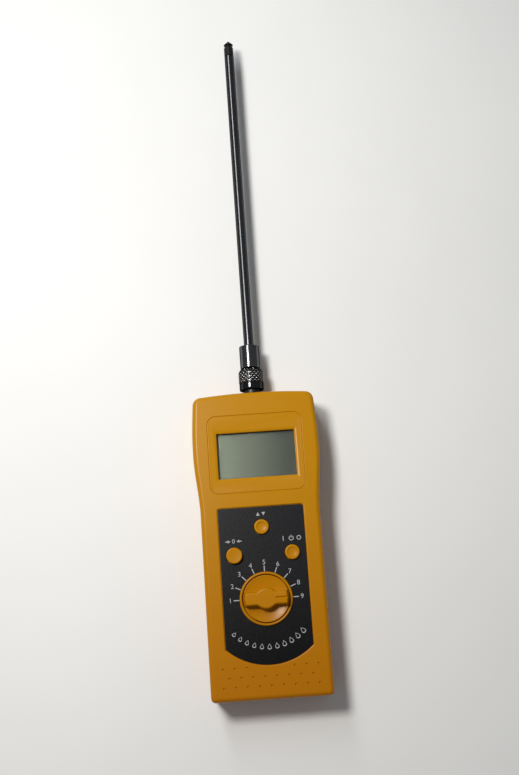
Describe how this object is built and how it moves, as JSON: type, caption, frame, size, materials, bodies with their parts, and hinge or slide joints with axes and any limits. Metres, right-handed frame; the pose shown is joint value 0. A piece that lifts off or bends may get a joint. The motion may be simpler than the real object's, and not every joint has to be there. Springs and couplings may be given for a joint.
{
  "type": "grain moisture meter",
  "caption": "Hand-held grain moisture meter with a display, rotary selector, push buttons, sliding battery cover and a plug-in steel probe on a bayonet socket.",
  "frame": {"origin": "middle of the whole object's bounding box, on the surface that its four feet stand on", "axes": "the meter lies on its back: +X to the right as the face is read, +Y along the probe towards its tip, +Z out of the face"},
  "size_m": [0.0686, 0.375, 0.0335],
  "materials": {
    "yellow_plastic": "fine satin moulded plastic, amber yellow",
    "slate_print": "satin printed overlay, slate grey",
    "clear_window": "clear polished acrylic",
    "lcd": "grey green reflective display",
    "white_plastic": "moulded white plastic",
    "black_plastic": "moulded black plastic",
    "black_rubber": "elastomer",
    "grey_foam": "closed cell foam",
    "green_board": "green solder mask",
    "battery_can": "printed metal can",
    "red_wire": "wire insulation",
    "black_wire": "wire insulation",
    "silver_label": "brushed silver foil label",
    "zinc_steel": "zinc plated",
    "chrome": "bright nickel plating",
    "polished_steel": "polished stainless steel",
    "white_insulator": "natural white insulator",
    "gold_brass": "gold plated contact"
  },
  "bodies": {
    "case": {"front_shell": "yellow_plastic", "rear_shell": "yellow_plastic", "battery_pad": "grey_foam", "control_panel": "slate_print", "display_window": "clear_window", "lcd_glass": "lcd", "lcd_holder": "white_plastic", "contact_strip_1": "black_rubber", "contact_strip_2": "black_rubber", "rotary_switch": "black_plastic", "tact_switch_mode": "black_plastic", "tact_switch_zero": "black_plastic", "tact_switch_power": "black_plastic", "main_board": "green_board", "processor_chip": "black_plastic", "amplifier_chip": "black_plastic", "battery_9v": "battery_can", "battery_snap": "black_plastic", "battery_lead_red": "red_wire", "battery_lead_black": "black_wire", "signal_lead": "red_wire", "rating_label": "silver_label", "case_screw_1": "zinc_steel", "case_screw_2": "zinc_steel", "case_screw_3": "zinc_steel", "case_screw_4": "zinc_steel", "board_screw_1": "zinc_steel", "board_screw_2": "zinc_steel", "socket_shell": "chrome", "socket_washer": "zinc_steel", "socket_nut": "zinc_steel", "socket_insulator": "white_insulator", "socket_contact": "gold_brass"},
    "dial": {"selector_dial": "yellow_plastic", "switch_shaft": "zinc_steel"},
    "mode_key": {"button_mode": "yellow_plastic"},
    "zero_key": {"button_zero": "yellow_plastic"},
    "power_key": {"button_power": "yellow_plastic"},
    "cover": {"battery_cover": "yellow_plastic"},
    "probe": {"probe_tip": "polished_steel", "tip_insulator": "black_plastic", "probe_rod": "polished_steel", "inner_insulator": "white_insulator", "inner_conductor": "gold_brass", "probe_sleeve": "chrome", "plug_body": "chrome"},
    "nut": {"coupling_nut": "chrome"}
  },
  "joints": [
    {"name": "dial_turn", "type": "hinge", "parent": "case", "child": "dial", "pos_m": [0, -0.13715, 0.027], "axis": [0, 0, 1], "range_deg": [0, 180]},
    {"name": "mode_press", "type": "slide", "parent": "case", "child": "mode_key", "axis": [0, 0, -1], "range_m": [0, 0.0008], "stiffness_N_per_m": 1500},
    {"name": "zero_press", "type": "slide", "parent": "case", "child": "zero_key", "axis": [0, 0, -1], "range_m": [0, 0.0008], "stiffness_N_per_m": 1500},
    {"name": "power_press", "type": "slide", "parent": "case", "child": "power_key", "axis": [0, 0, -1], "range_m": [0, 0.0008], "stiffness_N_per_m": 1500},
    {"name": "cover_slide", "type": "slide", "parent": "case", "child": "cover", "axis": [0, -1, 0], "range_m": [0, 0.042]},
    {"name": "probe_pull", "type": "slide", "parent": "case", "child": "probe", "axis": [0, 1, 0], "range_m": [0, 0.016]},
    {"name": "nut_turn", "type": "hinge", "parent": "probe", "child": "nut", "pos_m": [0, -0.0188, 0.014], "axis": [0, 1, 0], "range_deg": [0, 90]}
  ]
}
